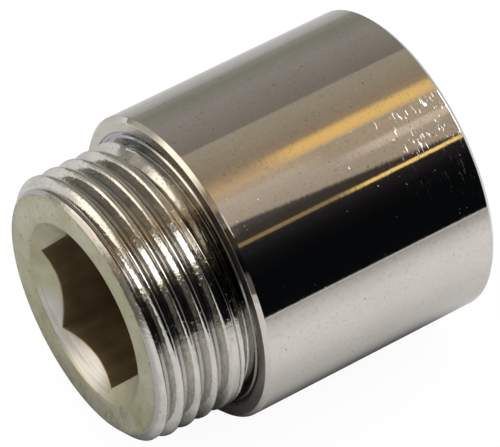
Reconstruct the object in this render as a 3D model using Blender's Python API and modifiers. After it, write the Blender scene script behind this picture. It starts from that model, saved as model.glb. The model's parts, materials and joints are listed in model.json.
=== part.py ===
"""Chrome-plated brass male-female pipe extension, G 3/4, with a hexagonal through bore.

The fitting lies on its side. Its axis is world X, with the male end towards -X, and the
origin is on the axis at mid-length. Lengths are in metres.
"""

import math

import bmesh
import bpy
from mathutils import Matrix

MM = 0.001

# Driving sizes
THREAD_MAJOR = 26.441 * MM  # G 3/4 parallel pipe thread, 14 to the inch
THREAD_PITCH = 25.4 / 14 * MM
THREAD_DEPTH = 1.162 * MM
THREAD_HALF_ANGLE = math.radians(27.5)
BARREL_DIAMETER = 30.0 * MM
BARREL_LENGTH = 25.0 * MM
SPIGOT_LENGTH = 10.0 * MM
HEX_ACROSS_FLATS = 14.0 * MM

# Thread details
CREST_LOSS = 0.12 * MM  # turning, polishing and plating take this off the crests
ROOT_FLAT = 0.34 * MM
GROOVE_OVERCUT = 0.22 * MM  # the cutting profile reaches past the crest by this much
MALE_START = 0.30 * MM  # depth of a thread root behind the male face, on the +Y side
FEMALE_START = 0.90 * MM  # the same root in front of the barrel's end face

# Male end, measured from its face
LEAD_LENGTH = 1.0 * MM
LEAD_FACE_RADIUS = 11.9 * MM
RELIEF_SLOPE_START = 8.75 * MM
RELIEF_FLOOR_START = 9.2 * MM
MOUTH_RADIUS = 8.95 * MM
MOUTH_HALF_ANGLE = math.radians(50.0)
HEX_TURN = math.radians(6.0)  # one corner's angle from +Y, towards +Z

# Barrel
EDGE_BEVEL = 0.4 * MM
LAND_INNER_RADIUS = 13.6 * MM
LAND_HEIGHT = 0.08 * MM

# Female socket, measured from the barrel's end face
SOCKET_MOUTH_RADIUS = 13.55 * MM
SOCKET_MOUTH_DEPTH = 1.0 * MM
SOCKET_THREAD_LENGTH = 10.8 * MM
SOCKET_DEPTH = 13.0 * MM
SOCKET_RELIEF_RADIUS = 13.4 * MM
SOCKET_RELIEF_SLOPE = 0.5 * MM

# Flat sealing washer on the socket's floor
WASHER_OUTER_RADIUS = 11.75 * MM
WASHER_INNER_RADIUS = 8.6 * MM
WASHER_THICKNESS = 2.0 * MM
WASHER_BEVEL = 0.2 * MM
SEAT_GAP = 0.3 * MM

SEGMENTS = 60
MERGE = 0.00001
CUT_MARGIN = 1.0 * MM
MALE_TURNS = 6
FEMALE_TURNS = 7
TOOL_STOP = 0.05 * MM  # the threading tool stops this short of the shoulder

# Worked out from the driving sizes
TOTAL_LENGTH = BARREL_LENGTH + SPIGOT_LENGTH
MALE_FACE_X = -TOTAL_LENGTH / 2
SHOULDER_X = MALE_FACE_X + SPIGOT_LENGTH
FEMALE_FACE_X = TOTAL_LENGTH / 2
SOCKET_FLOOR_X = FEMALE_FACE_X - SOCKET_DEPTH
BARREL_RADIUS = BARREL_DIAMETER / 2
MAJOR_RADIUS = THREAD_MAJOR / 2
MINOR_RADIUS = MAJOR_RADIUS - THREAD_DEPTH
CREST_RADIUS = MAJOR_RADIUS - CREST_LOSS
PILOT_RADIUS = HEX_ACROSS_FLATS / 2 - 0.2 * MM


def clear_scene():
    for obj in list(bpy.data.objects):
        bpy.data.objects.remove(obj, do_unlink=True)


def new_collection(name):
    collection = bpy.data.collections.new(name)
    bpy.context.scene.collection.children.link(collection)
    return collection


def principled(name, color, metallic, roughness):
    material = bpy.data.materials.new(name)
    material.use_nodes = True
    shader = material.node_tree.nodes["Principled BSDF"]
    shader.inputs["Base Color"].default_value = (*color, 1.0)
    shader.inputs["Metallic"].default_value = metallic
    shader.inputs["Roughness"].default_value = roughness
    return material


def link_mesh(name, mesh, collection):
    obj = bpy.data.objects.new(name, mesh)
    collection.objects.link(obj)
    return obj


def turned(name, profile, collection):
    """Turns a closed profile of (x, radius) points round the X axis."""
    mesh = bpy.data.meshes.new(name)
    count = len(profile)
    edges = [(i, (i + 1) % count) for i in range(count)]
    mesh.from_pydata([(x, radius, 0.0) for x, radius in profile], edges, [])
    obj = link_mesh(name, mesh, collection)
    screw = obj.modifiers.new("Turn", "SCREW")
    screw.axis = "X"
    screw.steps = SEGMENTS
    screw.render_steps = SEGMENTS
    screw.use_merge_vertices = True
    screw.merge_threshold = MERGE
    screw.use_normal_calculate = True
    return obj


def baked(obj):
    """Replaces the object's modifiers by the mesh that they make."""
    graph = bpy.context.evaluated_depsgraph_get()
    mesh = bpy.data.meshes.new_from_object(obj.evaluated_get(graph))
    obj.modifiers.clear()
    obj.data = mesh
    return obj


def make_cutter(obj):
    obj.hide_render = True
    obj.display_type = "WIRE"
    return obj


def thread_cutter(name, tip_radius, open_radius, start_x, turns, stop_x, collection):
    """A right-hand helical groove with 55 degree flanks, closed at both of its ends.

    The narrow side is at tip_radius and the wide side at open_radius. start_x is where
    the groove's middle first crosses the +Y side, and nothing is cut beyond stop_x.
    """
    half_tip = ROOT_FLAT / 2
    half_open = half_tip + abs(open_radius - tip_radius) * math.tan(THREAD_HALF_ANGLE)
    profile = [
        (start_x - half_open, open_radius),
        (start_x - half_tip, tip_radius),
        (start_x + half_tip, tip_radius),
        (start_x + half_open, open_radius),
    ]
    obj = turned(name, profile, collection)
    screw = obj.modifiers["Turn"]
    screw.screw_offset = THREAD_PITCH
    screw.iterations = turns
    screw.use_merge_vertices = False
    baked(obj)
    bm = bmesh.new()
    bm.from_mesh(obj.data)
    bmesh.ops.bisect_plane(
        bm,
        geom=bm.verts[:] + bm.edges[:] + bm.faces[:],
        plane_co=(stop_x, 0.0, 0.0),
        plane_no=(1.0, 0.0, 0.0),
        clear_outer=True,
    )
    bmesh.ops.holes_fill(bm, edges=bm.edges, sides=0)
    bmesh.ops.recalc_face_normals(bm, faces=bm.faces)
    bm.to_mesh(obj.data)
    bm.free()
    return make_cutter(obj)


def hex_cutter(collection):
    """The hexagonal broach, from outside the male face into the socket."""
    start_x = MALE_FACE_X - CUT_MARGIN
    end_x = SOCKET_FLOOR_X + CUT_MARGIN
    corner_radius = HEX_ACROSS_FLATS / 2 / math.cos(math.pi / 6)
    bpy.ops.mesh.primitive_cylinder_add(
        vertices=6, radius=corner_radius, depth=end_x - start_x
    )
    obj = bpy.context.object
    obj.name = "hex_broach"
    # A primitive's first corner is on its +Y side and its axis is Z.
    lay_down = Matrix.Rotation(math.pi / 2, 4, "Y")
    turn = Matrix.Rotation(HEX_TURN, 4, "X")
    obj.data.transform(turn @ lay_down)
    obj.location.x = (start_x + end_x) / 2
    for owner in list(obj.users_collection):
        owner.objects.unlink(obj)
    collection.objects.link(obj)
    return make_cutter(obj)


def cut(obj, cutter):
    boolean = obj.modifiers.new(cutter.name, "BOOLEAN")
    boolean.operation = "DIFFERENCE"
    boolean.solver = "EXACT"
    boolean.object = cutter


def body_profile():
    """The turned blank: its outside from male to female end, then its inside back."""
    mouth_depth = (MOUTH_RADIUS - PILOT_RADIUS) / math.tan(MOUTH_HALF_ANGLE)
    relief_x = FEMALE_FACE_X - SOCKET_THREAD_LENGTH
    land_x = SHOULDER_X - LAND_HEIGHT
    outside = [
        (MALE_FACE_X, MOUTH_RADIUS),
        (MALE_FACE_X, LEAD_FACE_RADIUS),
        (MALE_FACE_X + LEAD_LENGTH, CREST_RADIUS),
        (MALE_FACE_X + RELIEF_SLOPE_START, CREST_RADIUS),
        (MALE_FACE_X + RELIEF_FLOOR_START, MINOR_RADIUS),
        (SHOULDER_X, MINOR_RADIUS),
        (SHOULDER_X, LAND_INNER_RADIUS - LAND_HEIGHT),
        (land_x, LAND_INNER_RADIUS),
        (land_x, BARREL_RADIUS - EDGE_BEVEL),
        (land_x + EDGE_BEVEL, BARREL_RADIUS),
        (FEMALE_FACE_X - EDGE_BEVEL, BARREL_RADIUS),
        (FEMALE_FACE_X, BARREL_RADIUS - EDGE_BEVEL),
    ]
    inside = [
        (FEMALE_FACE_X, SOCKET_MOUTH_RADIUS),
        (FEMALE_FACE_X - SOCKET_MOUTH_DEPTH, MINOR_RADIUS),
        (relief_x, MINOR_RADIUS),
        (relief_x - SOCKET_RELIEF_SLOPE, SOCKET_RELIEF_RADIUS),
        (SOCKET_FLOOR_X, SOCKET_RELIEF_RADIUS),
        (SOCKET_FLOOR_X, PILOT_RADIUS),
        (MALE_FACE_X + mouth_depth, PILOT_RADIUS),
    ]
    return outside + inside


def make_body(parts, cutters):
    body = baked(turned("extension_body", body_profile(), parts))
    male_groove = thread_cutter(
        "male_thread_tool",
        MINOR_RADIUS + 0.02 * MM,
        CREST_RADIUS + GROOVE_OVERCUT,
        MALE_FACE_X + MALE_START - THREAD_PITCH,
        MALE_TURNS,
        SHOULDER_X - LAND_HEIGHT - TOOL_STOP,
        cutters,
    )
    female_groove = thread_cutter(
        "female_thread_tool",
        MAJOR_RADIUS,
        MINOR_RADIUS - GROOVE_OVERCUT,
        FEMALE_FACE_X + FEMALE_START - FEMALE_TURNS * THREAD_PITCH,
        FEMALE_TURNS,
        FEMALE_FACE_X + 2 * THREAD_PITCH,
        cutters,
    )
    cut(body, male_groove)
    cut(body, female_groove)
    cut(body, hex_cutter(cutters))
    body.data.materials.append(principled("plated_brass", (0.62, 0.60, 0.56), 1.0, 0.12))
    return body


def make_washer(parts):
    seat_x = SOCKET_FLOOR_X + SEAT_GAP
    far_x = seat_x + WASHER_THICKNESS
    profile = [
        (seat_x, WASHER_INNER_RADIUS),
        (seat_x, WASHER_OUTER_RADIUS - WASHER_BEVEL),
        (seat_x + WASHER_BEVEL, WASHER_OUTER_RADIUS),
        (far_x - WASHER_BEVEL, WASHER_OUTER_RADIUS),
        (far_x, WASHER_OUTER_RADIUS - WASHER_BEVEL),
        (far_x, WASHER_INNER_RADIUS),
    ]
    washer = turned("sealing_washer", profile, parts)
    washer.data.materials.append(principled("black_rubber", (0.03, 0.03, 0.032), 0.0, 0.7))
    return washer


def main():
    clear_scene()
    parts = new_collection("pipe_extension")
    cutters = new_collection("cutters")
    make_body(parts, cutters)
    make_washer(parts)


main()
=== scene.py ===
"""Looks of a chrome-plated brass male-female pipe extension, G 3/4, with a hexagonal bore.

The fitting lies on its side. Its axis is world X, with the male end towards -X. Shapes are
worked out in millimetres and scaled to metres when a mesh is made. "Turn" is the angle round
the axis, from +Y towards +Z.
"""

import json
import math

import bmesh
import bpy
import numpy as np
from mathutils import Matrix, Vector


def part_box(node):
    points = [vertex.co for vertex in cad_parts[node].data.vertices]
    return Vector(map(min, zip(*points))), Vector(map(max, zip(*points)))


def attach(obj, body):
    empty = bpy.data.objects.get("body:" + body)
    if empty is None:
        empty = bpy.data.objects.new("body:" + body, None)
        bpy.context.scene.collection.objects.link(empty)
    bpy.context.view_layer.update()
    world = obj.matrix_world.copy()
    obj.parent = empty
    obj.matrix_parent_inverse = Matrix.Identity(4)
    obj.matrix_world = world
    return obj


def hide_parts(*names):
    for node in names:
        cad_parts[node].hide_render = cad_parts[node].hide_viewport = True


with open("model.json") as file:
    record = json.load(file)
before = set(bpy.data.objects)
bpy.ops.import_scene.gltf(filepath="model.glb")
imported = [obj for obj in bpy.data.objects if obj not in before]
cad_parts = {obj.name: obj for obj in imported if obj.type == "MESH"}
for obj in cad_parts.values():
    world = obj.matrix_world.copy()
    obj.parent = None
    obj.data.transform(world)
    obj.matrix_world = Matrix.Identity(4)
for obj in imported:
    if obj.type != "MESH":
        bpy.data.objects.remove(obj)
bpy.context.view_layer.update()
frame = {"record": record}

MM = 0.001

# The frame's sizes, in mm
body_low, body_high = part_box("extension_body")
washer_low, washer_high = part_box("sealing_washer")
mounts = {mount["name"]: mount for mount in frame["record"]["mounts"]}
MALE_FACE = body_low.x / MM
FEMALE_FACE = body_high.x / MM
BARREL_RADIUS = body_high.y / MM
LAND_FACE = mounts["shoulder_face"]["pos_m"][0] / MM
FLOOR_Z = body_low.z

# Thread form, in mm
PITCH = 25.4 / 14
HALF_ANGLE = math.radians(27.5)
MAJOR_RADIUS = 26.441 / 2
THREAD_DEPTH = 1.162
CREST_LOSS = 0.12  # turning, polishing and plating take this off the crests
MINOR_RADIUS = MAJOR_RADIUS - THREAD_DEPTH
CREST_RADIUS = MAJOR_RADIUS - CREST_LOSS
ROOT_FLAT = 0.34
THREAD_ROUNDING = 0.16
CREST_ROUNDING = 0.34
MALE_START = 0.30  # depth of a root behind the male face, on the +Y side
FEMALE_START = 0.90  # the same root in front of the female face

# Male end, as depths behind its face
LAND_HEIGHT = 0.08
SPIGOT_LENGTH = LAND_FACE + LAND_HEIGHT - MALE_FACE
LEAD_LENGTH = 1.0
LEAD_FACE_RADIUS = 11.9
LEAD_ROUNDING = 0.06
WIDENING_TURNS = (4.0, 4.17)  # the groove's far side widens, counted in turns from its start
LIFTING_TURNS = (4.15, 4.42)  # the groove gets shallower and ends
RUNOUT_SLOPE = 0.8
RIDGE_DEPTH = 8.9
RIDGE_RADIUS = 12.8
RELIEF_SLOPE = 2.0
RELIEF_RADIUS = 12.05
RELIEF_ROUNDING = 0.08
NECK_FILLET = 0.18
NECK_END = 9.86
STEP_RADII = (13.06, 13.22)
MOUTH_RADIUS = 8.95
MOUTH_HALF_ANGLE = math.radians(50.0)
MOUTH_ROUNDING = (9.02, 9.60, 0.09)  # the face's worn inner edge: its radii and its drop
HEX_FLAT_RADIUS = 7.0
HEX_TURN = math.radians(6.0)

# Barrel and socket
EDGE_BEVEL = 0.4
BARREL_FILLET = 0.12
FACE_FILLET = 0.08
STEP_FILLET = 0.05
LAND_INNER_RADIUS = 13.6
SOCKET_MOUTH_RADIUS = 13.55
SOCKET_MOUTH_DEPTH = 1.0
SOCKET_RELIEF_RADIUS = 13.4
SOCKET_RELIEF_START = FEMALE_FACE - 10.8
SOCKET_RELIEF_SLOPE = 0.5
SOCKET_FLOOR = FEMALE_FACE - 13.0
SOCKET_FLOOR_INNER_RADIUS = 9.0
SOCKET_FLOOR_FILLET = 0.2
BORE_EDGE = 0.12  # the small bevel where the hexagon meets the socket's floor
# The rounded lip where the hexagon meets the mouth's cone: its start on the wall, then its
# middle and its end on the cone, each as a way along the axis and a rise
LIP_START = 0.10
LIP_MIDDLE = (0.02, 0.015)
LIP_END = (0.05, 0.01)
WASHER_INNER_RADIUS = 8.6
WASHER_ROUNDING = 0.25

# Clean-up of a mesh: points nearer than the first are merged and edges shorter than the
# second are dissolved, in mm. Edges that bend by more than the angle stay sharp.
MERGE_DISTANCE = 0.0005
SLIVER = 0.0002
SHARP_ANGLE = math.radians(40)

# Mesh fineness. The hexagon's corners fall on columns.
COLUMNS = 240
TURNS = np.arange(COLUMNS) * 2 * math.pi / COLUMNS
MALE_ROWS_PER_PITCH = 34
FEMALE_ROWS_PER_PITCH = 17
BORE_ROWS = 17
CONE_ROWS = 9
FACE_ROWS = 12
MOUTH_EDGE_ROWS = 9

# The body's finishes, in the order of its materials
POLISHED, THREADED, END_FACE, MOUTH, BORE, SOCKET = range(6)


# ---------------------------------------------------------------- shapes

def soft_min(a, b, width):
    """The lower of two, with the corner between them rounded over this width."""
    overlap = np.clip(width - np.abs(a - b), 0.0, None)
    return np.minimum(a, b) - overlap**2 / (4 * width)


def soft_max(a, b, width):
    return -soft_min(-a, -b, width)


def from_root(x, turn, start):
    """Distance along the axis to the nearest thread root."""
    along = x - start - PITCH * turn / (2 * math.pi)
    return np.abs((along + PITCH / 2) % PITCH - PITCH / 2)


def progress(value, start, end):
    return np.clip((value - start) / (end - start), 0.0, 1.0)


def male_radius(depth, turn):
    """The spigot's radius. The last groove widens on its far side, gets shallower and ends."""
    around = turn / (2 * math.pi)
    along = (depth - MALE_START) / PITCH - around
    groove = np.round(along)
    widening = np.where(along > groove, progress(groove + around, *WIDENING_TURNS), 0.0)
    steepness = 1 / math.tan(HALF_ANGLE) + (RUNOUT_SLOPE - 1 / math.tan(HALF_ANGLE)) * widening
    lift = THREAD_DEPTH * progress(groove + around, *LIFTING_TURNS)
    flank = MINOR_RADIUS + lift + (np.abs(along - groove) * PITCH - ROOT_FLAT / 2) * steepness
    thread = soft_min(flank, CREST_RADIUS, CREST_ROUNDING)
    thread = soft_max(thread, MINOR_RADIUS, THREAD_ROUNDING)
    relief = RIDGE_RADIUS - (depth - RIDGE_DEPTH) * RELIEF_SLOPE
    radius = soft_max(soft_min(thread, relief, RELIEF_ROUNDING), RELIEF_RADIUS, LEAD_ROUNDING)
    lead = LEAD_FACE_RADIUS + depth * (CREST_RADIUS - LEAD_FACE_RADIUS) / LEAD_LENGTH
    radius = soft_min(radius, lead, LEAD_ROUNDING)
    into_fillet = np.clip(depth - (NECK_END - NECK_FILLET), 0.0, NECK_FILLET)
    return radius + NECK_FILLET - np.sqrt(NECK_FILLET**2 - into_fillet**2)


def female_radius(x, turn):
    start = FEMALE_FACE + FEMALE_START
    flank = MAJOR_RADIUS - (from_root(x, turn, start) - ROOT_FLAT / 2) / math.tan(HALF_ANGLE)
    thread = soft_max(flank, MINOR_RADIUS, THREAD_ROUNDING)
    thread = soft_min(thread, MAJOR_RADIUS, THREAD_ROUNDING)
    mouth_slope = (SOCKET_MOUTH_RADIUS - MINOR_RADIUS) / SOCKET_MOUTH_DEPTH
    mouth = SOCKET_MOUTH_RADIUS - (FEMALE_FACE - x) * mouth_slope
    relief_slope = (SOCKET_RELIEF_RADIUS - MINOR_RADIUS) / SOCKET_RELIEF_SLOPE
    relief = MINOR_RADIUS + (SOCKET_RELIEF_START - x) * relief_slope
    floor = np.minimum(relief, SOCKET_RELIEF_RADIUS)
    return soft_max(soft_max(thread, mouth, LEAD_ROUNDING), floor, LEAD_ROUNDING)


def hex_radius(turn):
    """The hexagon's outline, as a distance from the axis."""
    from_middle = (turn - HEX_TURN) % (math.pi / 3) - math.pi / 6
    return HEX_FLAT_RADIUS / np.cos(from_middle)


def rounded(corners, steps=5, support=0.04):
    """A profile's points, from corners (x, radius, fillet).

    Each fillet has a short span beside it, so that its shading stays on it.
    """
    points = []
    for i, (x, radius, fillet) in enumerate(corners):
        corner = np.array([x, radius], float)
        if fillet == 0:
            points.append(corner)
            continue
        back = np.array(corners[i - 1][:2]) - corner
        ahead = np.array(corners[i + 1][:2]) - corner
        back /= np.linalg.norm(back)
        ahead /= np.linalg.norm(ahead)
        half = math.acos(np.clip(back @ ahead, -1, 1)) / 2
        tangent = fillet / math.tan(half)
        middle = (back + ahead) / np.linalg.norm(back + ahead)
        centre = corner + middle * fillet / math.sin(half)
        first = corner + back * tangent - centre
        last = corner + ahead * tangent - centre
        sweep = math.pi - 2 * half
        points.append(centre + first + back * support)
        for k in range(steps + 1):
            angle = sweep * k / steps
            arc = first * math.sin(sweep - angle) + last * math.sin(angle)
            points.append(centre + arc / math.sin(sweep))
        points.append(centre + last + ahead * support)
    return points


def ring(x, radius):
    """One row of (x, radius), which may change with the turn."""
    x = np.broadcast_to(x, COLUMNS)
    radius = np.broadcast_to(radius, COLUMNS)
    return np.stack([x, radius], axis=1).astype(float)


def rings_between(first, last, count):
    """Rows from one to the other, both included."""
    return [first + (last - first) * share for share in np.linspace(0, 1, count)]


def helical_rows(low, high, rows_per_pitch, radius_of):
    """Rows that follow the thread, cut off square at both ends."""
    count = math.ceil((high - low + PITCH) / PITCH * rows_per_pitch)
    starts = low - PITCH + np.arange(count + 1) * PITCH / rows_per_pitch
    x = np.clip(starts[:, None] + PITCH * TURNS[None, :] / (2 * math.pi), low, high)
    return np.stack([x, radius_of(x, TURNS[None, :])], axis=2)


class Skin:
    """A turned surface, gathered as rows of points round the axis and the faces between them."""

    def __init__(self):
        self.points = []
        self.faces = []
        self.finishes = []
        self.count = 0

    def add(self, rows, finish, shift=0, flip=False):
        """rows is (row, column, [x, radius]). A helix climbs shift rows in one turn."""
        rows = np.asarray(rows)
        x, radius = rows[..., 0], rows[..., 1]
        points = np.stack([x, radius * np.cos(TURNS), radius * np.sin(TURNS)], axis=2)
        self.points.append(points.reshape(-1, 3))
        last = len(rows) - 1
        row, column = np.meshgrid(np.arange(last), np.arange(COLUMNS), indexing="ij")
        climb = np.where(column == COLUMNS - 1, shift, 0)
        beside = (column + 1) % COLUMNS
        corners = [
            row * COLUMNS + column,
            np.minimum(row + climb, last) * COLUMNS + beside,
            np.minimum(row + 1 + climb, last) * COLUMNS + beside,
            (row + 1) * COLUMNS + column,
        ]
        faces = np.stack(corners, axis=2).reshape(-1, 4) + self.count
        self.faces.append(faces[:, ::-1] if flip else faces)
        self.finishes.append(np.full(len(faces), finish))
        self.count += len(points.reshape(-1, 3))

    def build(self, name, materials):
        mesh = bpy.data.meshes.new(name)
        points = np.concatenate(self.points) * MM
        faces = np.concatenate(self.faces)
        mesh.from_pydata(points.tolist(), [], faces.tolist())
        finishes = np.concatenate(self.finishes).astype(np.int32)
        mesh.polygons.foreach_set("material_index", finishes)
        bm = bmesh.new()
        bm.from_mesh(mesh)
        bmesh.ops.remove_doubles(bm, verts=bm.verts, dist=MERGE_DISTANCE * MM)
        bmesh.ops.dissolve_degenerate(bm, edges=bm.edges, dist=SLIVER * MM)
        bm.to_mesh(mesh)
        bm.free()
        mesh.shade_smooth()
        mesh.set_sharp_from_angle(angle=SHARP_ANGLE)
        for material in materials:
            mesh.materials.append(material)
        obj = bpy.data.objects.new(name, mesh)
        bpy.context.scene.collection.objects.link(obj)
        return obj


def spigot_rows():
    return helical_rows(
        MALE_FACE, MALE_FACE + NECK_END, MALE_ROWS_PER_PITCH,
        lambda x, turn: male_radius(x - MALE_FACE, turn),
    )


def socket_rows():
    low = SOCKET_RELIEF_START - SOCKET_RELIEF_SLOPE
    return helical_rows(low, FEMALE_FACE, FEMALE_ROWS_PER_PITCH, female_radius)


def bore_rows():
    """From the socket's floor through the hexagon to the lip where the mouth's cone meets it."""
    across = hex_radius(TURNS)
    cone_x = MALE_FACE + (MOUTH_RADIUS - across) / math.tan(MOUTH_HALF_ANGLE)
    floor_edge = ring(SOCKET_FLOOR, across + BORE_EDGE)
    wall_start = ring(SOCKET_FLOOR - BORE_EDGE, across)
    wall_end = ring(cone_x + LIP_START, across)
    walls = rings_between(wall_start, wall_end, BORE_ROWS)
    lip = ring(cone_x + LIP_MIDDLE[0], across + LIP_MIDDLE[1])
    cone_rise = LIP_END[0] * math.tan(MOUTH_HALF_ANGLE)
    on_cone = ring(cone_x - LIP_END[0], across + cone_rise + LIP_END[1])
    return [floor_edge, *walls, lip, on_cone]


def mouth_edge_rows():
    """The worn edge between the mouth's cone and the face, from the cone outwards."""
    inner, outer, drop = MOUTH_ROUNDING
    rows = []
    for share in np.linspace(0, 1, MOUTH_EDGE_ROWS):
        rows.append(ring(MALE_FACE + drop * (1 - share)**2, inner + (outer - inner) * share))
    cone_start = ring(MALE_FACE + drop + 0.05, inner - 0.04)
    return [cone_start, *rows]


def make_body(materials):
    spigot = spigot_rows()
    socket = socket_rows()
    bore = bore_rows()
    skin = Skin()
    edge = mouth_edge_rows()
    face_radii = np.linspace(MOUTH_ROUNDING[1] + 0.06, LEAD_FACE_RADIUS - 0.05, FACE_ROWS)
    face = [ring(MALE_FACE, radius) for radius in face_radii]
    skin.add([*edge, *face, spigot[0]], END_FACE)
    skin.add(spigot, THREADED, shift=MALE_ROWS_PER_PITCH)
    shoulder_x = MALE_FACE + SPIGOT_LENGTH
    outline = rounded([
        (MALE_FACE + NECK_END, RELIEF_RADIUS + 2 * NECK_FILLET, 0),
        (MALE_FACE + NECK_END, STEP_RADII[0], STEP_FILLET),
        (shoulder_x, STEP_RADII[1], STEP_FILLET),
        (shoulder_x, LAND_INNER_RADIUS - LAND_HEIGHT, 0),
        (LAND_FACE, LAND_INNER_RADIUS, STEP_FILLET),
        (LAND_FACE, BARREL_RADIUS - EDGE_BEVEL, FACE_FILLET),
        (LAND_FACE + EDGE_BEVEL, BARREL_RADIUS, BARREL_FILLET),
        (FEMALE_FACE - EDGE_BEVEL, BARREL_RADIUS, BARREL_FILLET),
        (FEMALE_FACE, BARREL_RADIUS - EDGE_BEVEL, FACE_FILLET),
        (FEMALE_FACE, SOCKET_MOUTH_RADIUS, 0),
    ])
    outside = [ring(x, radius) for x, radius in outline[:-1]]
    skin.add([spigot[-1], *outside, socket[-1]], POLISHED)
    skin.add(socket, SOCKET, shift=FEMALE_ROWS_PER_PITCH, flip=True)
    floor = rounded([
        (SOCKET_RELIEF_START - SOCKET_RELIEF_SLOPE, SOCKET_RELIEF_RADIUS, 0),
        (SOCKET_FLOOR, SOCKET_RELIEF_RADIUS, SOCKET_FLOOR_FILLET),
        (SOCKET_FLOOR, SOCKET_FLOOR_INNER_RADIUS, 0),
    ])
    floor_rings = [ring(x, radius) for x, radius in floor[1:]]
    skin.add([socket[0], *floor_rings, bore[0]], SOCKET)
    skin.add(bore, BORE)
    skin.add(rings_between(bore[-1], edge[0], CONE_ROWS), MOUTH)
    return skin.build("plated_body", materials)


def make_washer(material):
    inner = WASHER_INNER_RADIUS
    outer = washer_high.y / MM
    low, high = washer_low.x / MM, washer_high.x / MM
    outline = rounded([
        (low, (inner + outer) / 2, 0),
        (low, outer, WASHER_ROUNDING),
        (high, outer, WASHER_ROUNDING),
        (high, inner, WASHER_ROUNDING),
        (low, inner, WASHER_ROUNDING),
        (low, (inner + outer) / 2, 0),
    ])
    skin = Skin()
    skin.add([ring(x, radius) for x, radius in outline], 0)
    return skin.build("flat_sealing_washer", [material])


# ---------------------------------------------------------------- materials

class Nodes:
    """Short calls for building a node tree."""

    def __init__(self, tree):
        self.tree = tree

    def add(self, kind, **settings):
        node = self.tree.nodes.new(kind)
        for name, value in settings.items():
            setattr(node, name, value)
        return node

    def link(self, source, target):
        self.tree.links.new(source, target)

    def math(self, operation, *values):
        node = self.add("ShaderNodeMath", operation=operation)
        for socket, value in zip(node.inputs, values):
            self.feed(value, socket)
        return node.outputs[0]

    def feed(self, value, socket):
        if isinstance(value, bpy.types.NodeSocket):
            self.link(value, socket)
        else:
            socket.default_value = value

    def spread(self, value, low, high, to_low=0.0, to_high=1.0):
        node = self.add("ShaderNodeMapRange", clamp=True)
        for socket, number in zip(node.inputs, (value, low, high, to_low, to_high)):
            self.feed(number, socket)
        return node.outputs[0]

    def times(self, first, *others):
        """The product of two or more values."""
        for other in others:
            first = self.math("MULTIPLY", first, other)
        return first

    def plus(self, first, second):
        return self.math("ADD", first, second)

    def length(self, first, second):
        """The hypotenuse over two sides."""
        squares = self.plus(self.times(first, first), self.times(second, second))
        return self.math("SQRT", squares)

    def beyond(self, value, limit):
        """How far a value is outside -limit to limit, and 0 inside."""
        outside = self.math("SUBTRACT", self.math("ABSOLUTE", value), limit)
        return self.math("MAXIMUM", outside, 0.0)

    def window(self, value, low, high, soft):
        """1 between low and high, fading to 0 over a soft distance centred on each."""
        rise = self.spread(value, low - soft / 2, low + soft / 2)
        fall = self.spread(value, high - soft / 2, high + soft / 2, 1.0, 0.0)
        return self.times(rise, fall)

    def position(self):
        """A point's x, y and z in the scene, in millimetres."""
        parts = self.add("ShaderNodeSeparateXYZ")
        self.link(self.add("ShaderNodeNewGeometry").outputs["Position"], parts.inputs[0])
        return [self.times(part, 1000) for part in parts.outputs]

    def on_object(self):
        """A point's x, y and z on its own object, in metres."""
        parts = self.add("ShaderNodeSeparateXYZ")
        self.link(self.add("ShaderNodeTexCoord").outputs["Object"], parts.inputs[0])
        return parts.outputs

    def from_axis(self):
        """A point's distance from the fitting's axis."""
        y, z = self.on_object()[1:]
        return self.length(y, z)

    def ramp(self, value, low, high, stops):
        """A colour ramp whose stops are given in the value's own units."""
        node = self.add("ShaderNodeValToRGB")
        elements = node.color_ramp.elements
        while len(elements) < len(stops):
            elements.new(1.0)
        for element, (at, color) in zip(elements, stops):
            element.position = (at - low) / (high - low)
            element.color = (*color, 1.0)
        self.link(self.spread(value, low, high), node.inputs[0])
        return node.outputs[0]

    def mix(self, share, first, second, blend="MIX"):
        node = self.add("ShaderNodeMix", data_type="RGBA", blend_type=blend)
        self.feed(share, node.inputs["Factor"])
        for value, name in ((first, "A"), (second, "B")):
            socket = [s for s in node.inputs if s.name == name and s.type == "RGBA"][0]
            self.feed((*value, 1.0) if isinstance(value, tuple) else value, socket)
        return [s for s in node.outputs if s.type == "RGBA"][0]

    def noise(self, scale, stretch=(1, 1, 1), detail=3.0, roughness=0.5):
        """Noise over the object, scale in cells per metre, with each axis stretched."""
        where = self.add("ShaderNodeTexCoord").outputs["Object"]
        mapping = self.add("ShaderNodeMapping")
        mapping.inputs["Scale"].default_value = [scale * s for s in stretch]
        self.link(where, mapping.inputs["Vector"])
        node = self.add("ShaderNodeTexNoise")
        node.inputs["Scale"].default_value = 1.0
        node.inputs["Detail"].default_value = detail
        node.inputs["Roughness"].default_value = roughness
        self.link(mapping.outputs[0], node.inputs["Vector"])
        return node.outputs["Fac"]

    def bump(self, height, distance, strength=1.0, below=None):
        node = self.add("ShaderNodeBump")
        node.inputs["Strength"].default_value = strength
        node.inputs["Distance"].default_value = distance
        self.link(height, node.inputs["Height"])
        if below is not None:
            self.link(below, node.inputs["Normal"])
        return node.outputs["Normal"]


def new_material(name, metallic=1.0):
    material = bpy.data.materials.new(name)
    material.use_nodes = True
    shader = material.node_tree.nodes["Principled BSDF"]
    shader.inputs["Metallic"].default_value = metallic
    return material, Nodes(material.node_tree), shader


# Painted shade and a painted dark reflection on the plating
NECK_PAINTED_SHADE = (0.27, 0.28, 0.32)  # in the neck, on its upper back side
STEP_PAINTED_SHADE = (0.15, 0.15, 0.14)  # on the step, on its front side
RUNOUT_DARK_REFLECTION = (0.15, 0.13, 0.10)  # where the thread ends, on its front side
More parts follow.
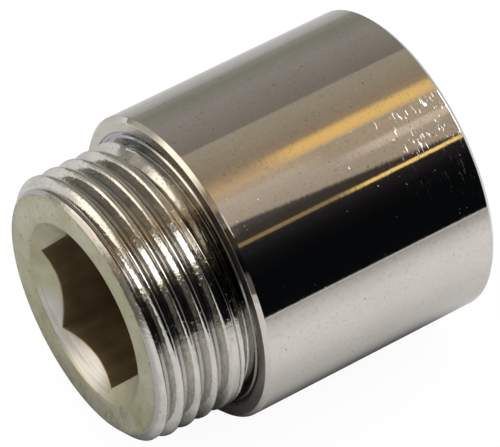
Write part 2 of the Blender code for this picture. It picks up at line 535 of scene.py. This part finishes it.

# Where finishes change and where shade and light are painted, in metres. Two numbers are where
# a fade starts and ends; three are a window and its softness.
NECK_WALL_RADII = (0.01345, 0.01362)
STEP_WALL_RADII = (0.01330, 0.01340)
TURNED_FACE_RADII = (0.01345, 0.01456, 0.0001)
GROOVE_RADII = (0.01208, 0.01236)
FACE_RIM_RADII = (0.01145, 0.01195)
THREAD_END = (-0.0101, -0.0096)
DARK_REFLECTION_START = (-0.0102, -0.0096)
NECK_START = (-0.0084, -0.0079)
SCUFFED_ALONG = (0.009, 0.025, 0.005)
SCUFFED_ACROSS = (-0.0125, -0.0035, 0.003)
DARK_REFLECTION_ACROSS = (-0.0115, -0.0045, 0.001)
BACK_SIDE = (0.001, 0.005)
FRONT_SIDE = (-0.003, -0.007)
UPPER_SIDE = (0.0, 0.004)
LOWER_SIDE = (0.004, -0.006)
LIT_BELOW = (-0.003, -0.005)
LIT_ACROSS = (-0.004, -0.001)


def polished_plating():
    """Bright plating, scuffed most towards the female end."""
    material, nodes, shader = new_material("polished_plating")
    from_axis = nodes.from_axis()
    along, across, height = nodes.on_object()
    cloud = nodes.spread(nodes.noise(180, detail=4), 0.35, 0.65)
    color = nodes.mix(cloud, (0.56, 0.53, 0.49), (0.53, 0.50, 0.46))
    mottle = nodes.spread(nodes.noise(2800, detail=3, roughness=0.7), 0.52, 0.70)
    color = nodes.mix(mottle, color, (0.47, 0.44, 0.39))
    speck = nodes.spread(nodes.noise(2600, detail=2), 0.68, 0.74)
    color = nodes.mix(speck, color, (0.34, 0.31, 0.26))
    glint = nodes.spread(nodes.noise(3600, stretch=(1, 0.5, 0.5), detail=2), 0.735, 0.77)
    color = nodes.mix(glint, color, (0.80, 0.78, 0.74))
    # Painted shade: the neck's back side is darkened to a bluish grey
    recess = nodes.spread(from_axis, *NECK_WALL_RADII, 0.7, 0.0)
    recess = nodes.times(recess, nodes.spread(across, *BACK_SIDE))
    color = nodes.mix(recess, color, NECK_PAINTED_SHADE)
    # Painted shade: the step's front side is darkened nearly to black
    step = nodes.spread(from_axis, *STEP_WALL_RADII, 0.8, 0.0)
    step = nodes.times(step, nodes.spread(across, *FRONT_SIDE))
    color = nodes.mix(step, color, STEP_PAINTED_SHADE)
    nodes.link(color, shader.inputs["Base Color"])

    grain = nodes.noise(2500, stretch=(1, 0.3, 0.3), detail=4)
    rough = nodes.spread(grain, 0.3, 0.8, 0.03, 0.07)
    rough = nodes.plus(rough, nodes.times(glint, 0.3))
    # The flat end faces are turned and not polished
    turned = nodes.window(from_axis, *TURNED_FACE_RADII)
    rough = nodes.plus(rough, nodes.times(turned, 0.26))
    nodes.link(rough, shader.inputs["Roughness"])

    scuffed = nodes.times(
        nodes.window(along, *SCUFFED_ALONG),
        nodes.window(across, *SCUFFED_ACROSS),
        nodes.spread(height, *UPPER_SIDE),
    )
    scuffed = nodes.math("MAXIMUM", scuffed, 0.12)
    hairline = nodes.noise(5200, stretch=(1.4, 0.2, 0.2), detail=3)
    scratch = nodes.noise(2300, stretch=(2.2, 0.32, 0.32), detail=4, roughness=0.6)
    scratch = nodes.spread(scratch, 0.62, 0.74)
    normal = nodes.bump(grain, 0.000002)
    normal = nodes.bump(nodes.times(hairline, scuffed), 0.0000022, below=normal)
    normal = nodes.bump(nodes.times(scratch, scuffed), 0.0000034, below=normal)
    nodes.link(normal, shader.inputs["Normal"])
    return material


def thread_plating():
    """Plating on the spigot, duller in the grooves, where polishing doesn't reach, and with
    painted shade darkening the grooves' colour.
    """
    material, nodes, shader = new_material("thread_plating")
    along, across, height = nodes.on_object()
    on_thread = nodes.spread(along, *THREAD_END, 1.0, 0.0)
    cloud = nodes.spread(nodes.noise(300, detail=4), 0.35, 0.65)
    color = nodes.mix(cloud, (0.59, 0.57, 0.53), (0.53, 0.51, 0.47))
    streak = nodes.noise(1400, stretch=(1.6, 0.35, 0.35), detail=5, roughness=0.7)
    color = nodes.mix(nodes.spread(streak, 0.50, 0.66), color, (0.43, 0.42, 0.38))
    patchy = nodes.noise(900, stretch=(1, 0.3, 0.3), detail=5)
    patchy = nodes.spread(patchy, 0.3, 0.7, -0.00016, 0.00016)
    groove = nodes.spread(nodes.plus(nodes.from_axis(), patchy), *GROOVE_RADII, 1.0, 0.0)
    groove = nodes.times(groove, on_thread)
    # Painted shade: the grooves' colour is darker, besides their rougher finish
    color = nodes.mix(groove, color, (0.36, 0.35, 0.33))
    pit = nodes.spread(nodes.noise(2400, detail=3), 0.66, 0.72)
    color = nodes.mix(nodes.times(pit, on_thread), color, (0.26, 0.24, 0.19))
    # Painted shade: the neck's back side is darkened to a bluish grey here too
    recess = nodes.spread(along, *NECK_START, 0.0, 0.7)
    recess = nodes.times(recess, nodes.spread(across, *BACK_SIDE))
    color = nodes.mix(recess, color, NECK_PAINTED_SHADE)
    # Painted dark reflection: the upper front where the thread ends is darkened nearly to black
    dark_patch = nodes.times(
        nodes.window(across, *DARK_REFLECTION_ACROSS),
        nodes.spread(height, *UPPER_SIDE),
        nodes.spread(along, *DARK_REFLECTION_START, 0.0, 0.85),
    )
    color = nodes.mix(dark_patch, color, RUNOUT_DARK_REFLECTION)
    nodes.link(color, shader.inputs["Base Color"])

    grain = nodes.noise(3000, stretch=(1, 0.3, 0.3), detail=4, roughness=0.7)
    rough = nodes.spread(grain, 0.3, 0.8, 0.07, 0.17)
    rough = nodes.plus(rough, nodes.times(groove, 0.08))
    nodes.link(rough, shader.inputs["Roughness"])

    sparkle = nodes.spread(nodes.noise(2600, detail=2), 0.62, 0.70)
    normal = nodes.bump(nodes.noise(1500, detail=3), 0.000024)
    normal = nodes.bump(sparkle, 0.000010, below=normal)
    normal = nodes.bump(grain, 0.000010, below=normal)
    nodes.link(normal, shader.inputs["Normal"])
    return material


def end_face():
    """A dull machined face, stained olive and grimiest at its rim."""
    material, nodes, shader = new_material("end_face")
    stain = nodes.noise(260, detail=6, roughness=0.6)
    color = nodes.mix(nodes.spread(stain, 0.40, 0.60), (0.43, 0.41, 0.305), (0.35, 0.335, 0.20))
    grain = nodes.noise(4200, detail=3, roughness=0.7)
    color = nodes.mix(nodes.spread(grain, 0.40, 0.70, 0.0, 0.5), color, (0.28, 0.27, 0.19))
    ragged = nodes.noise(1100, detail=6, roughness=0.65)
    ragged = nodes.spread(ragged, 0.3, 0.7, -0.00035, 0.00035)
    rim = nodes.spread(nodes.plus(nodes.from_axis(), ragged), *FACE_RIM_RADII, 0.0, 0.75)
    color = nodes.mix(rim, color, (0.24, 0.215, 0.14))
    smear = nodes.noise(620, stretch=(1, 1, 0.55), detail=6, roughness=0.7)
    smear = nodes.spread(smear, 0.52, 0.62)
    low_side = nodes.spread(nodes.on_object()[2], *LOWER_SIDE, 0.1, 0.55)
    color = nodes.mix(nodes.times(smear, low_side), color, (0.22, 0.20, 0.10))
    speck = nodes.spread(nodes.noise(1900, detail=3), 0.66, 0.71)
    color = nodes.mix(speck, color, (0.17, 0.15, 0.10))
    nodes.link(color, shader.inputs["Base Color"])
    nodes.link(nodes.spread(stain, 0.3, 0.7, 0.27, 0.40), shader.inputs["Roughness"])
    nodes.link(nodes.bump(grain, 0.000008), shader.inputs["Normal"])
    return material


def mouth_chamfer():
    """The lead-in cone: fine turning marks, stained above, and painted brighter below as a
    reflection of light.
    """
    material, nodes, shader = new_material("mouth_chamfer")
    across, height = nodes.on_object()[1:]
    stain = nodes.spread(nodes.noise(500, detail=5), 0.35, 0.65)
    dirty = nodes.mix(stain, (0.40, 0.385, 0.28), (0.33, 0.315, 0.20))
    rings = nodes.noise(10000, stretch=(1, 0.02, 0.02), detail=2)
    # Painted reflection of light: the cone's lower front is brighter, and its turning marks show
    # in it
    lit_rings = nodes.mix(nodes.spread(rings, 0.40, 0.65), (0.56, 0.55, 0.52), (0.42, 0.41, 0.41))
    lit_side = nodes.times(
        nodes.spread(height, *LIT_BELOW), nodes.spread(across, *LIT_ACROSS)
    )
    nodes.link(nodes.mix(lit_side, dirty, lit_rings), shader.inputs["Base Color"])
    shader.inputs["Roughness"].default_value = 0.4
    nodes.link(nodes.bump(rings, 0.000005), shader.inputs["Normal"])
    return material


def bore_wall():
    """The broached hexagon, brown, tarnished in patches and lined along its length."""
    material, nodes, shader = new_material("bore_wall")
    lines = nodes.noise(900, stretch=(0.05, 1, 1), detail=3)
    color = nodes.mix(nodes.spread(lines, 0.35, 0.65), (0.46, 0.38, 0.27), (0.36, 0.29, 0.19))
    dark_patch = nodes.spread(nodes.noise(400, detail=5), 0.45, 0.65, 0.0, 0.6)
    color = nodes.mix(dark_patch, color, (0.27, 0.21, 0.11))
    nodes.link(color, shader.inputs["Base Color"])
    shader.inputs["Roughness"].default_value = 0.45
    nodes.link(nodes.bump(lines, 0.00001), shader.inputs["Normal"])
    return material


def socket_plating():
    """Clean satin plating inside the female socket."""
    material, nodes, shader = new_material("socket_plating")
    cloud = nodes.noise(300, detail=4)
    color = nodes.mix(nodes.spread(cloud, 0.35, 0.65), (0.54, 0.51, 0.46), (0.46, 0.43, 0.38))
    nodes.link(color, shader.inputs["Base Color"])
    nodes.link(nodes.spread(cloud, 0.3, 0.7, 0.15, 0.25), shader.inputs["Roughness"])
    return material


def washer_rubber():
    material, nodes, shader = new_material("washer_rubber", metallic=0.0)
    grain = nodes.noise(4000, detail=3)
    color = nodes.mix(grain, (0.020, 0.020, 0.021), (0.045, 0.045, 0.046))
    nodes.link(color, shader.inputs["Base Color"])
    nodes.link(nodes.spread(grain, 0.3, 0.7, 0.55, 0.75), shader.inputs["Roughness"])
    nodes.link(nodes.bump(grain, 0.00002), shader.inputs["Normal"])
    return material


# ---------------------------------------------------------------- stage

CAMERA_PLACE = (-0.15207380, -0.22465058, 0.29233491)
CAMERA_AZIMUTH = math.radians(-34.215264)
CAMERA_ELEVATION = math.radians(46.992828)
FOCAL_LENGTH = 314.72716
SENSOR_WIDTH = 36.0
WORLD_STRENGTH = 1.2

# The floor's own grey, and the even glow that it has for the camera alone
FLOOR_COLOR = (0.9, 0.9, 0.9)
FLOOR_GLOW = 1.02
FLOOR_GLOW_SHARE = 0.92
# How light the floor is in reflections, by Y in mm
FLOOR_LIGHT = [
    (-180, 0.50), (-135, 0.60), (-105, 0.72), (-80, 0.77), (-60, 0.82), (-45, 0.93),
    (-25, 0.95), (0, 0.85), (35, 0.63), (60, 0.54), (100, 0.50), (160, 0.41),
]
# It is darker far in front of the female end, and even beyond the male end, in mm
FAR_FRONT_Y = (-60, -90)
FAR_FRONT_X = (10, 60)
FAR_FRONT_SHADE = 0.3
MALE_SIDE_X = (0, -45)
MALE_SIDE_COLOR = (0.85, 0.85, 0.85)
# Light hardly reaches under the fitting. The half sizes of the darkest patch there, in mm,
# and how light the floor is by the distance from it.
CONTACT_HALF_WIDTH = 6.5
CONTACT_HALF_LENGTH = 12.6
CONTACT_LIGHT = [(0, 0.07), (2, 0.14), (5, 0.40), (7, 0.70), (9, 0.86), (24, 1.0)]

DOME_RADIUS = 0.175
DOME_CENTRE = Vector((0.0, 0.03, FLOOR_Z))

# Colours round the tent, by the angle about the X axis in degrees from the back of the floor
RAMP_LOW, RAMP_HIGH = -20.0, 200.0
TENT_LIGHT = [
    (-10, (0.40, 0.40, 0.36)), (0, (0.38, 0.38, 0.33)), (8, (0.32, 0.33, 0.28)),
    (28, (0.41, 0.39, 0.37)), (44, (0.36, 0.34, 0.31)), (57, (0.32, 0.29, 0.26)),
    (59.2, (0.32, 0.29, 0.26)), (60.2, (0.53, 0.47, 0.39)), (70, (0.49, 0.44, 0.33)),
    (82, (0.44, 0.35, 0.26)), (87, (0.50, 0.39, 0.25)), (96, (0.86, 0.63, 0.39)),
    (101, (0.74, 0.60, 0.44)), (104, (0.78, 0.68, 0.54)), (112, (0.67, 0.57, 0.48)),
    (119, (0.60, 0.51, 0.42)), (135, (0.60, 0.48, 0.34)),
]
TENT_DARK = [
    (100, (0.13, 0.12, 0.11)), (122, (0.11, 0.10, 0.10)), (127, (0.07, 0.06, 0.05)),
    (131, (0.07, 0.06, 0.05)), (136, (0.028, 0.027, 0.028)), (140, (0.019, 0.018, 0.021)),
    (146, (0.008, 0.008, 0.010)), (156, (0.004, 0.005, 0.006)), (182, (0.004, 0.005, 0.006)),
]
# The light part ends on a slant: from the first X and angle to the second ones
SLANT_X = (46, 71)
SLANT_ANGLES = (119.3, 130.5)
# Cards on the tent: colour, angles and softness in degrees, span of X and softness in mm
TENT_CARDS = [
    ((0.62, 0.52, 0.39), (98.0, 110.0), 2.0, (58, 75), 4),
    ((0.98, 0.82, 0.66), (110.5, 115.5), 2.5, (62, 78), 6),
    ((1.27, 0.85, 0.31), (88.5, 96.5), 4.0, (57, 78), 5),
    ((0.40, 0.30, 0.15), (131.5, 134.0), 0.6, (20, 58), 4),
    ((1.65, 1.18, 0.40), (132.1, 134.3), 0.7, (58, 300), 4),
    ((0.06, 0.05, 0.045), (91.0, 131.0), 3.0, (-70, 28), 6),
    ((2.3, 2.15, 1.95), (109.0, 125.0), 4.0, (4, 41), 3),
    ((1.35, 1.28, 1.15), (99.0, 121.0), 4.0, (-122, -80), 8),
    ((0.20, 0.17, 0.14), (93.0, 112.0), 8.0, (-150, -125), 5),
    ((0.06, 0.05, 0.03), (112.0, 136.0), 6.0, (-150, -125), 5),
    ((0.15, 0.15, 0.13), (164.0, 190.0), 6.0, (-150, -120), 6),
    ((0.62, 0.60, 0.53), (-9.0, 20.0), 8.0, (-300, -75), 12),
    ((0.26, 0.25, 0.21), (92.0, 190.0), 8.0, (-300, -150), 6),
    ((0.22, 0.21, 0.20), (135.0, 190.0), 6.0, (80, 300), 4),
    ((0.90, 0.86, 0.80), (88.0, 99.0), 4.0, (80, 300), 4),
    ((0.66, 0.63, 0.58), (99.0, 130.5), 3.0, (80, 300), 4),
    ((9.0, 9.2, 9.5), (99.0, 130.5), 3.0, (79, 110), 3),
]
# A skirt hangs round the tent's foot. Its top edge falls towards +X, in mm.
SKIRT_X = (-100, 40)
SKIRT_TOP = (-3.5, -12.0)
SKIRT_FRONT = (0.80, 0.78, 0.76)
SKIRT_BACK = (0.44, 0.43, 0.40)
# A light panel beyond the male end: its span of Y and Z with their softness, and where it
# fades in along X, in mm
PANEL_Y = (38, 136, 36)
PANEL_Z = (-60, 118, 20)
PANEL_X = (-88, -104)
PANEL_COLOR = (2.1, 1.92, 1.66)


def grey(stops):
    return [(at, (level,) * 3) for at, level in stops]


def make_floor():
    bpy.ops.mesh.primitive_plane_add(size=4.0, location=(0.0, 0.0, FLOOR_Z))
    floor = bpy.context.object
    floor.name = "floor"
    material, nodes, shader = new_material("pale_floor", metallic=0.0)
    shader.inputs["Roughness"].default_value = 1.0
    shader.inputs["Specular IOR Level"].default_value = 0.0
    seen = nodes.add("ShaderNodeLightPath").outputs["Is Camera Ray"]
    x, y = nodes.position()[:2]
    shade = nodes.ramp(y, -180, 180, grey(FLOOR_LIGHT))
    far_front = nodes.times(nodes.spread(y, *FAR_FRONT_Y), nodes.spread(x, *FAR_FRONT_X))
    shade = nodes.mix(nodes.times(far_front, FAR_FRONT_SHADE), shade, (0.0, 0.0, 0.0))
    shade = nodes.mix(nodes.spread(x, *MALE_SIDE_X), shade, MALE_SIDE_COLOR)
    beyond_side = nodes.beyond(y, CONTACT_HALF_WIDTH)
    beyond_end = nodes.beyond(x, CONTACT_HALF_LENGTH)
    away = nodes.length(beyond_side, beyond_end)
    contact = nodes.ramp(away, 0, CONTACT_LIGHT[-1][0], grey(CONTACT_LIGHT))
    shade = nodes.mix(1.0, shade, contact, blend="MULTIPLY")
    nodes.link(nodes.mix(seen, shade, FLOOR_COLOR), shader.inputs["Base Color"])
    glow = nodes.add("ShaderNodeEmission")
    glow.inputs["Strength"].default_value = FLOOR_GLOW
    choice = nodes.add("ShaderNodeMixShader")
    nodes.link(nodes.times(seen, FLOOR_GLOW_SHARE), choice.inputs[0])
    nodes.link(shader.outputs[0], choice.inputs[1])
    nodes.link(glow.outputs[0], choice.inputs[2])
    output = material.node_tree.nodes["Material Output"]
    nodes.link(choice.outputs[0], output.inputs["Surface"])
    floor.data.materials.append(material)


def make_dome():
    """A tent of soft light and dark card that only reflections see."""
    bpy.ops.mesh.primitive_uv_sphere_add(
        segments=96, ring_count=48, radius=DOME_RADIUS, location=DOME_CENTRE
    )
    dome = bpy.context.object
    dome.name = "reflection_tent"
    dome.visible_camera = False
    dome.visible_diffuse = False
    dome.visible_shadow = False
    dome.visible_transmission = False
    material = bpy.data.materials.new("tent_light")
    material.use_nodes = True
    tree = material.node_tree
    nodes = Nodes(tree)
    tree.nodes.remove(tree.nodes["Principled BSDF"])
    x, y, z = nodes.position()
    angle = nodes.times(nodes.math("ARCTAN2", y, z), -180 / math.pi)
    angle = nodes.plus(angle, 90)
    light = nodes.ramp(angle, RAMP_LOW, RAMP_HIGH, TENT_LIGHT)
    dark = nodes.ramp(angle, RAMP_LOW, RAMP_HIGH, TENT_DARK)
    edge = nodes.spread(x, *SLANT_X, *SLANT_ANGLES)
    color = nodes.mix(nodes.spread(nodes.math("SUBTRACT", angle, edge), -1, 1), light, dark)
    for card_color, angles, soft, across, across_soft in TENT_CARDS:
        share = nodes.times(
            nodes.window(angle, *angles, soft), nodes.window(x, *across, across_soft)
        )
        color = nodes.mix(share, color, card_color)
    skirt_top = nodes.spread(x, *SKIRT_X, *SKIRT_TOP)
    below = nodes.spread(nodes.math("SUBTRACT", skirt_top, z), -0.7, 0.7)
    skirt = nodes.mix(nodes.spread(y, -40, 40), SKIRT_FRONT, SKIRT_BACK)
    color = nodes.mix(below, color, skirt)
    panel = nodes.times(
        nodes.window(y, *PANEL_Y), nodes.window(z, *PANEL_Z), nodes.spread(x, *PANEL_X)
    )
    color = nodes.mix(panel, color, PANEL_COLOR)
    glow = nodes.add("ShaderNodeEmission")
    nodes.link(color, glow.inputs["Color"])
    nodes.link(glow.outputs[0], tree.nodes["Material Output"].inputs["Surface"])
    dome.data.materials.append(material)


def make_world():
    world = bpy.data.worlds.new("studio")
    bpy.context.scene.world = world
    world.use_nodes = True
    background = world.node_tree.nodes["Background"]
    background.inputs["Color"].default_value = (1.0, 1.0, 1.0, 1.0)
    background.inputs["Strength"].default_value = WORLD_STRENGTH


def make_camera():
    data = bpy.data.cameras.new("camera")
    camera = bpy.data.objects.new("camera", data)
    bpy.context.scene.collection.objects.link(camera)
    back = Vector((
        math.sin(CAMERA_AZIMUTH) * math.cos(CAMERA_ELEVATION),
        -math.cos(CAMERA_AZIMUTH) * math.cos(CAMERA_ELEVATION),
        math.sin(CAMERA_ELEVATION),
    ))
    camera.location = CAMERA_PLACE
    camera.rotation_euler = (-back).to_track_quat("-Z", "Y").to_euler()
    data.sensor_width = SENSOR_WIDTH
    data.lens = FOCAL_LENGTH
    data.clip_start = 0.01
    data.clip_end = 10.0
    bpy.context.scene.camera = camera


def main():
    body = make_body([
        polished_plating(), thread_plating(), end_face(),
        mouth_chamfer(), bore_wall(), socket_plating(),
    ])
    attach(body, "root")
    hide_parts("extension_body")
    washer = make_washer(washer_rubber())
    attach(washer, "root")
    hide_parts("sealing_washer")
    make_floor()
    make_dome()
    make_world()
    make_camera()
    bpy.context.scene.view_settings.view_transform = "Standard"


main()
